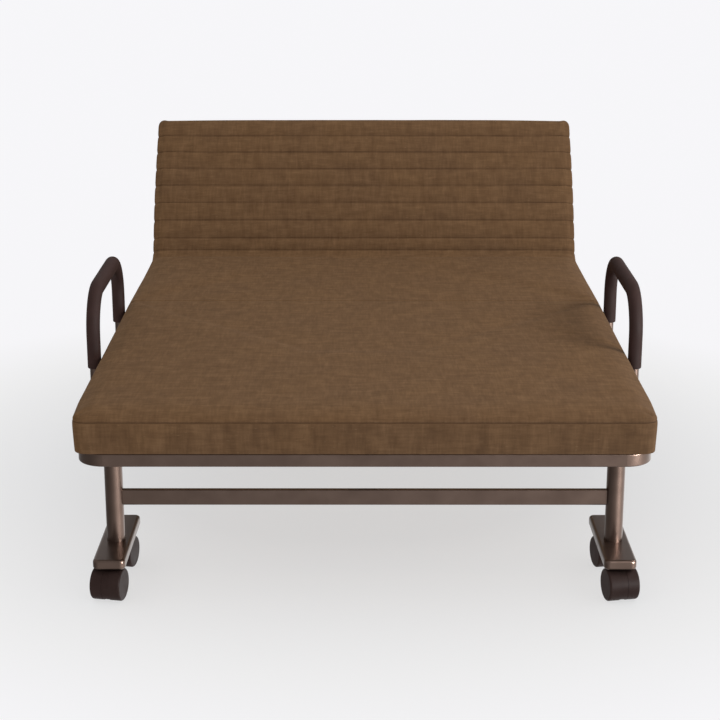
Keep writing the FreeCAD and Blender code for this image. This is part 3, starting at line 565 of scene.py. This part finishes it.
def make_moulded(name, dark, light, rough, grain, depth, shine=0.1):
    """Moulded plastic, foam or rubber: close colour variation, uneven gloss and a fine grain."""
    material, nodes, links, shader = new_material(name)
    vector = object_places(nodes)
    cloud = mapped_noise(nodes, links, vector, (30, 30, 30), 3.0)
    fine = mapped_noise(nodes, links, vector, (grain,) * 3, 2.0)
    mixed = maths(nodes, links, "MULTIPLY_ADD", fine, 0.5, maths(nodes, links, "MULTIPLY", cloud, 0.5))
    links.new(ramp(nodes, links, mixed, [(0.3, dark), (0.7, light)]), shader.inputs["Base Color"])
    uneven_gloss(nodes, links, cloud, *rough, shader)
    bump(nodes, links, fine, depth, 0.5, shader)
    shader.inputs["Specular IOR Level"].default_value = shine
    return material


def make_wood():
    """Pale laminated slat wood, with grain drawn out along X."""
    material, nodes, links, shader = new_material("slat_birch")
    vector = object_places(nodes)
    grain = mapped_noise(nodes, links, vector, (6, 260, 260), 5.0)
    band = mapped_noise(nodes, links, vector, (1.2, 30, 30), 2.0)
    mixed = maths(nodes, links, "MULTIPLY_ADD", grain, 0.6, maths(nodes, links, "MULTIPLY", band, 0.4))
    colour = ramp(nodes, links, mixed, [(0.3, (0.36, 0.22, 0.11)), (0.5, (0.56, 0.39, 0.22)),
                                        (0.7, (0.68, 0.51, 0.32))])
    links.new(colour, shader.inputs["Base Color"])
    uneven_gloss(nodes, links, grain, 0.5, 0.38, shader)
    bump(nodes, links, grain, 0.15 * MM, 0.35, shader)
    return material


def make_zinc():
    """Zinc-plated steel with a faint spangle and brushed roughness."""
    material, nodes, links, shader = new_material("zinc_plate")
    vector = object_places(nodes)
    spangle = mapped_noise(nodes, links, vector, (180, 180, 180), 2.0)
    brushed = mapped_noise(nodes, links, vector, (1800, 120, 1800), 2.0)
    links.new(ramp(nodes, links, spangle, [(0.3, (0.24, 0.245, 0.25)), (0.7, (0.35, 0.35, 0.34))]),
              shader.inputs["Base Color"])
    uneven_gloss(nodes, links, brushed, 0.28, 0.42, shader)
    bump(nodes, links, brushed, 0.03 * MM, 0.3, shader)
    shader.inputs["Metallic"].default_value = 1.0
    return material


SLOT_MATERIALS = {
    "bronze_paint": make_paint(),
    "mattress_fabric": make_fabric(),
    "handle_foam": make_moulded("grip_foam", (0.032, 0.0155, 0.0131), (0.051, 0.0270, 0.0236),
                                rough=(0.62, 0.8), grain=1400, depth=0.12 * MM),
    "castor_plastic": make_moulded("castor_nylon", (0.029, 0.0165, 0.0145), (0.043, 0.0265, 0.0235),
                                   rough=(0.36, 0.5), grain=2200, depth=0.03 * MM, shine=0.04),
    "foot_rubber": make_moulded("foot_rubber", (0.012, 0.012, 0.012), (0.024, 0.023, 0.022),
                                rough=(0.7, 0.85), grain=900, depth=0.08 * MM),
    "slat_wood": make_wood(),
    "slat_holder_plastic": make_moulded("holder_plastic", (0.014, 0.014, 0.014), (0.03, 0.03, 0.03),
                                        rough=(0.4, 0.55), grain=1600, depth=0.05 * MM),
    "zinc_steel": make_zinc(),
}
for subpart in frame["record"]["subparts"]:
    mesh = frame["nodes"][subpart["node"]].data
    mesh.materials.clear()
    mesh.materials.append(SLOT_MATERIALS[subpart["material_slot"]])


# ---------------------------------------------------------------- foam grips
GRIP_HALF = 16 * MM
GRIP_DEPTH_TOP = 27 * MM     # from the tube's centreline to the underside of the grip on the top bar
TUBE_R = 11 * MM             # of the handle tube, which fills the sleeve
GRIP_BEND_R = 98 * MM
GRIP_END_R = 3 * MM
GRIP_END_LINES = [0, 0.8 * MM, 1.8 * MM, GRIP_END_R]
RING_POINTS = 28


def arch_point(travel, height, half_span):
    """Point, outward normal and share of the turn, at a distance along one half of the arch."""
    if travel < height:
        return (-half_span, travel, -1.0, 0.0, 0.0)
    turn = min((travel - height) / GRIP_BEND_R, math.pi / 2)
    y = -half_span + GRIP_BEND_R * (1 - math.cos(turn))
    z = height + GRIP_BEND_R * math.sin(turn)
    flat = travel - height - GRIP_BEND_R * math.pi / 2
    return (y + max(flat, 0.0), z, -math.cos(turn), math.sin(turn), turn / (math.pi / 2))


def sleeve_ring(origin, place, mirror, wide, out_reach, in_reach):
    """Points round the arch at one place. The ring may reach further in than out."""
    y, z, normal_y, normal_z, _ = place
    ring = []
    for k in range(RING_POINTS):
        angle = math.tau * k / RING_POINTS
        across, out = math.cos(angle), math.sin(angle)
        offset = out * (out_reach if out > 0 else in_reach)
        ring.append((origin.x + across * wide, origin.y + mirror * (y + normal_y * offset),
                     origin.z + z + normal_z * offset))
    return ring


def ring_quads(first, second):
    """Quads between two rings, given by the index of each one's first point."""
    following = [(k + 1) % RING_POINTS for k in range(RING_POINTS)]
    return [[first + k, first + n, second + n, second + k] for k, n in enumerate(following)]


def sleeve_faces(rows):
    """Quads of a sleeve: rows of outer rings, then as many inner ones, closed at both ends."""
    outer = [i * RING_POINTS for i in range(rows)]
    inner = [(rows + i) * RING_POINTS for i in range(rows)]
    faces = []
    for a, b in zip(outer, outer[1:]):
        faces += ring_quads(a, b)
    for a, b in [*zip(inner, inner[1:]), (outer[0], inner[0])]:
        faces += [face[::-1] for face in ring_quads(a, b)]
    return faces + ring_quads(outer[-1], inner[-1])


def grip(side_name):
    """Foam sleeve on the arched tube: round on the posts, deeper on the inside of the top bar."""
    low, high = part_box(f"handle_grip_{side_name}")
    middle = (low + high) / 2
    origin = Vector((middle.x, middle.y, low.z))
    half_span = (high.y - low.y) / 2 - GRIP_HALF
    straight = high.z - GRIP_HALF - GRIP_BEND_R - low.z
    half_length = straight + GRIP_BEND_R * math.pi / 2 + half_span - GRIP_BEND_R
    travels = grid_lines(GRIP_END_LINES + [half_length], 7 * MM)
    travels += [2 * half_length - t for t in reversed(travels[:-1])]
    outer, inner = [], []
    for travel in travels:
        near = min(travel, 2 * half_length - travel)
        mirror = 1 if travel <= half_length else -1
        place = arch_point(near, straight, half_span)
        share = place[-1]
        deep = GRIP_HALF + (GRIP_DEPTH_TOP - GRIP_HALF) * float(smooth(share * 1.1))
        short = max(0.0, 1 - near / GRIP_END_R)
        trim = GRIP_END_R * (1 - math.sqrt(1 - short ** 2))
        outer += sleeve_ring(origin, place, mirror, GRIP_HALF - trim, GRIP_HALF - trim, deep - trim)
        inner += sleeve_ring(origin, place, mirror, TUBE_R, TUBE_R, TUBE_R)
    piece = new_object(f"grip_foam_{side_name}", outer + inner, sleeve_faces(len(travels)))
    subdivide(piece)
    piece.data.materials.append(SLOT_MATERIALS["handle_foam"])
    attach(piece, "foot_half")
    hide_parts(f"handle_grip_{side_name}")


foot_cover()
head_cover()
grip("left")
grip("right")


# ---------------------------------------------------------------- floor, lights and camera
STUDIO_REACH = 60.0          # half the floor's width
BACKDROP_SIDES = 48


def make_floor():
    """Pale floor that glows, more so far away: painted light, dimmer round the bed as a painted broad shade and
    faintly blue there against the bed's warm bounce, so that shadows stay light and the distance even.
    """
    material, nodes, links, shader = new_material("studio_floor")
    shader.inputs["Base Color"].default_value = (0.33, 0.33, 0.337, 1)
    shader.inputs["Roughness"].default_value = 0.9
    shader.inputs["Specular IOR Level"].default_value = 0.0
    place = nodes.new("ShaderNodeTexCoord").outputs["Object"]
    far = nodes.new("ShaderNodeVectorMath")
    far.operation = "DISTANCE"
    links.new(place, far.inputs[0])
    far.inputs[1].default_value = (-0.04, 0, 0)
    share = maths(nodes, links, "DIVIDE", far.outputs["Value"], 8.0)
    # painted shade: the glow rises from near the bed to far away, a broad shade painted round the bed
    glow = ramp(nodes, links, share, [(0.070, (0.553, 0.560, 0.570)), (0.115, (0.622, 0.624, 0.628)),
                                      (0.155, (0.680, 0.680, 0.682)), (0.20, (0.742, 0.738, 0.756))])
    links.new(glow, shader.inputs["Emission Color"])
    shader.inputs["Emission Strength"].default_value = 1.0
    corners = [(x * STUDIO_REACH, y * STUDIO_REACH, 0) for x, y in ((-1, -1), (1, -1), (1, 1), (-1, 1))]
    floor = new_object("studio_floor", corners, [[0, 1, 2, 3]], smooth_shading=False)
    floor.data.materials.append(material)
    floor.visible_glossy = False
    return floor


def make_backdrop():
    """Wall as pale as the distant floor, all round it. Only the camera sees it, so it lights nothing."""
    material, _, _, shader = new_material("studio_backdrop")
    shader.inputs["Base Color"].default_value = (0, 0, 0, 1)
    shader.inputs["Specular IOR Level"].default_value = 0.0
    shader.inputs["Emission Color"].default_value = (0.927, 0.923, 0.943, 1)
    shader.inputs["Emission Strength"].default_value = 1.0
    around = [math.tau * i / BACKDROP_SIDES for i in range(BACKDROP_SIDES)]
    points = [(0.9 * STUDIO_REACH * math.cos(a), 0.9 * STUDIO_REACH * math.sin(a), z)
              for z in (-1.0, STUDIO_REACH) for a in around]
    following = [(i + 1) % BACKDROP_SIDES for i in range(BACKDROP_SIDES)]
    walls = [[i, n, BACKDROP_SIDES + n, BACKDROP_SIDES + i] for i, n in enumerate(following)]
    backdrop = new_object("studio_backdrop", points, walls)
    backdrop.data.materials.append(material)
    backdrop.visible_diffuse = False
    backdrop.visible_glossy = False
    backdrop.visible_shadow = False


def make_world():
    """Even light from above. Below the horizon, where only gloss sees it, it brightens to the right."""
    world = bpy.data.worlds.new("studio")
    world.use_nodes = True
    nodes, links = world.node_tree.nodes, world.node_tree.links
    direction = nodes.new("ShaderNodeSeparateXYZ")
    links.new(nodes.new("ShaderNodeTexCoord").outputs["Generated"], direction.inputs[0])
    rightward = maths(nodes, links, "MULTIPLY_ADD", direction.outputs["X"], 0.5, 0.5)
    glow = ramp(nodes, links, rightward, [(0.1, (0.14,) * 3), (0.45, (0.37,) * 3), (0.55, (0.43,) * 3),
                                          (0.75, (0.9,) * 3), (0.95, (0.8,) * 3)])
    below = nodes.new("ShaderNodeMixRGB")
    links.new(maths(nodes, links, "LESS_THAN", direction.outputs["Z"], 0.0), below.inputs["Fac"])
    below.inputs["Color1"].default_value = (0.28, 0.28, 0.28, 1)
    links.new(glow, below.inputs["Color2"])
    background = nodes["Background"]
    links.new(below.outputs["Color"], background.inputs["Color"])
    background.inputs["Strength"].default_value = 2.0
    bpy.context.scene.world = world


def softbox(name, location, target, width, height, power, glossy_only=False, spare=None):
    """Area light. With glossy_only it only shows as a highlight, and it doesn't light the spared object."""
    light = bpy.data.lights.new(name, "AREA")
    light.shape = "RECTANGLE"
    light.size, light.size_y = width, height
    light.energy = power
    lamp = bpy.data.objects.new(name, light)
    lamp.location = location
    lamp.rotation_euler = (Vector(target) - Vector(location)).to_track_quat("-Z", "Y").to_euler()
    lamp.visible_diffuse = not glossy_only
    if spare:
        lit = bpy.data.collections.new(name + "_lights")
        lit.objects.link(spare)
        lit.collection_objects[0].light_linking.link_state = "EXCLUDE"
        lamp.light_linking.receiver_collection = lit
    bpy.context.scene.collection.objects.link(lamp)


def make_camera():
    """The view of the photo, fitted to the bed's corners, seams and castors."""
    camera = bpy.data.objects.new("camera", bpy.data.cameras.new("camera"))
    camera.data.lens = 84.9
    camera.data.sensor_width = 36.0
    camera.data.clip_end = 2 * STUDIO_REACH
    camera.location = (-0.0066, foot_low.y - 3.2879, 1.5061)
    camera.rotation_euler = (math.radians(73.749), 0, math.radians(0.058))
    bpy.context.scene.collection.objects.link(camera)
    bpy.context.scene.camera = camera


studio_floor = make_floor()
make_backdrop()
make_world()
softbox("key_light", (5.0, -0.7, 4.5), (0, 0, 0.4), 2.5, 2.5, 230, spare=studio_floor)
softbox("front_fill", (1.8, -3.9, 3.2), (0, -0.1, 0.6), 2.0, 1.6, 38, spare=studio_floor)
softbox("front_glint", (3.4, -3.3, 0.75), (0, -0.7, 0.2), 1.5, 1.5, 500, glossy_only=True, spare=studio_floor)
make_camera()
bpy.context.scene.view_settings.view_transform = "Standard"

bpy.context.view_layer.update()
